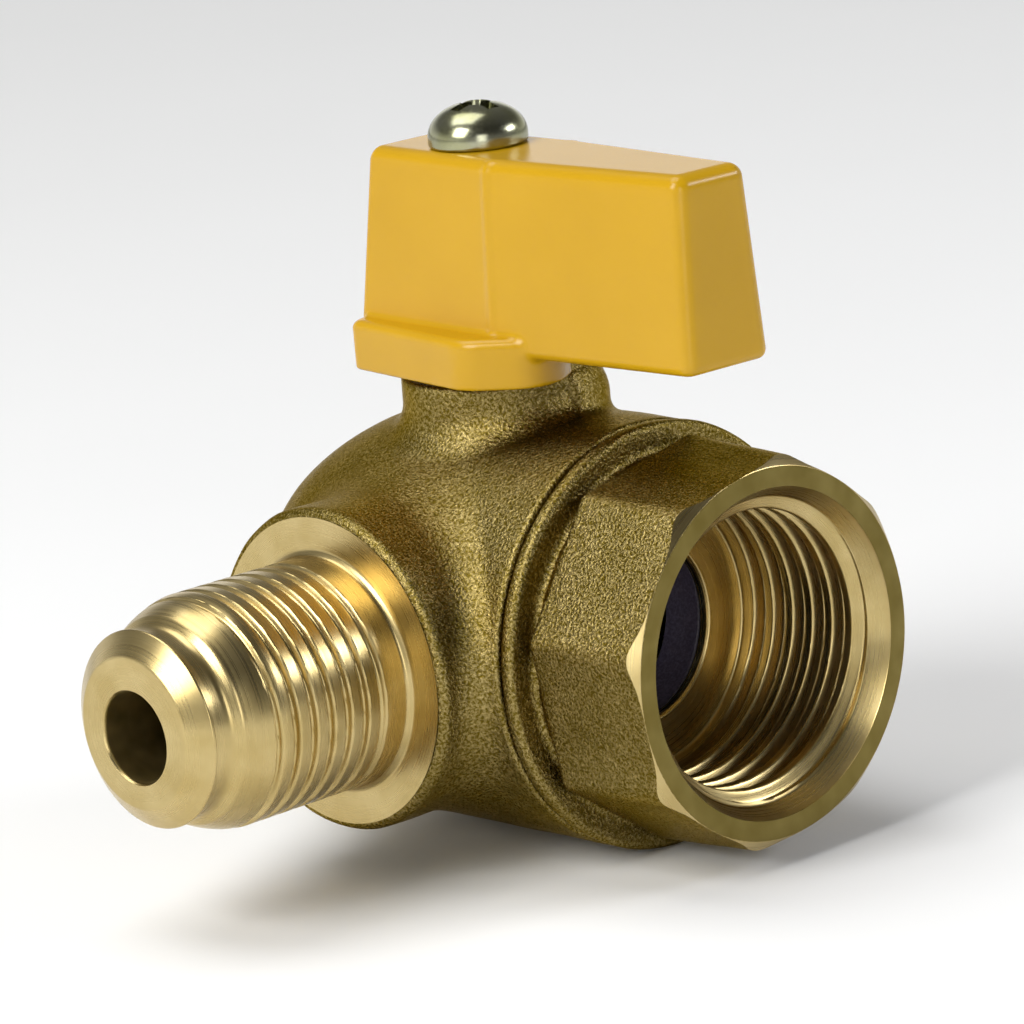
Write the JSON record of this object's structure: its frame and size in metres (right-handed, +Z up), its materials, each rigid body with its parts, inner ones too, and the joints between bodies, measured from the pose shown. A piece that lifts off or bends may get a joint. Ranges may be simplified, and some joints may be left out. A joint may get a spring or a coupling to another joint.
{
  "type": "angle gas ball valve",
  "caption": "Angle ball valve for gas: forged brass body with an octagonal female pipe end, a male flare end at right angles to it, and a yellow lever handle on top.",
  "frame": {"origin": "centre of the female pipe end's mouth, in the plane of its face", "axes": "+X out of the female end, along the pipe that carries the valve; +Z up along the stem; the male end points to -Y"},
  "size_m": [0.0415, 0.0488, 0.0494],
  "materials": {
    "forged_brass": "forged and shot-blasted brass, with bright turned faces and thread at the male end",
    "machined_brass": "forged and blasted on the octagon, turned and shiny in the pipe thread",
    "turned_brass": "turned brass",
    "ball_chrome": "polished chrome plating",
    "plated_steel": "bright zinc plating with a faint yellow cast",
    "yellow_plastic": "satin moulded yellow plastic",
    "ptfe": "dark carbon-filled PTFE",
    "nitrile": "black nitrile rubber"
  },
  "bodies": {
    "body": {"valve_body": "forged_brass", "end_connector": "machined_brass", "seat_front": "ptfe", "seat_rear": "ptfe", "connector_seal": "nitrile", "thrust_washer": "ptfe"},
    "handle": {"handle": "yellow_plastic", "handle_screw": "plated_steel", "stem": "turned_brass", "stem_oring_lower": "nitrile", "stem_oring_upper": "nitrile"},
    "ball": {"ball": "ball_chrome"}
  },
  "joints": [
    {"name": "handle_turn", "type": "hinge", "parent": "body", "child": "handle", "pos_m": [-0.02405, 0, 0], "axis": [0, 0, 1], "range_deg": [-87.5, 2.5]},
    {"name": "ball_turn", "type": "hinge", "parent": "body", "child": "ball", "pos_m": [-0.02405, 0, 0], "axis": [0, 0, 1], "range_deg": [-87.5, 2.5]}
  ],
  "couplings": [
    {"joint": "ball_turn", "follows": "handle_turn", "ratio": 1}
  ]
}
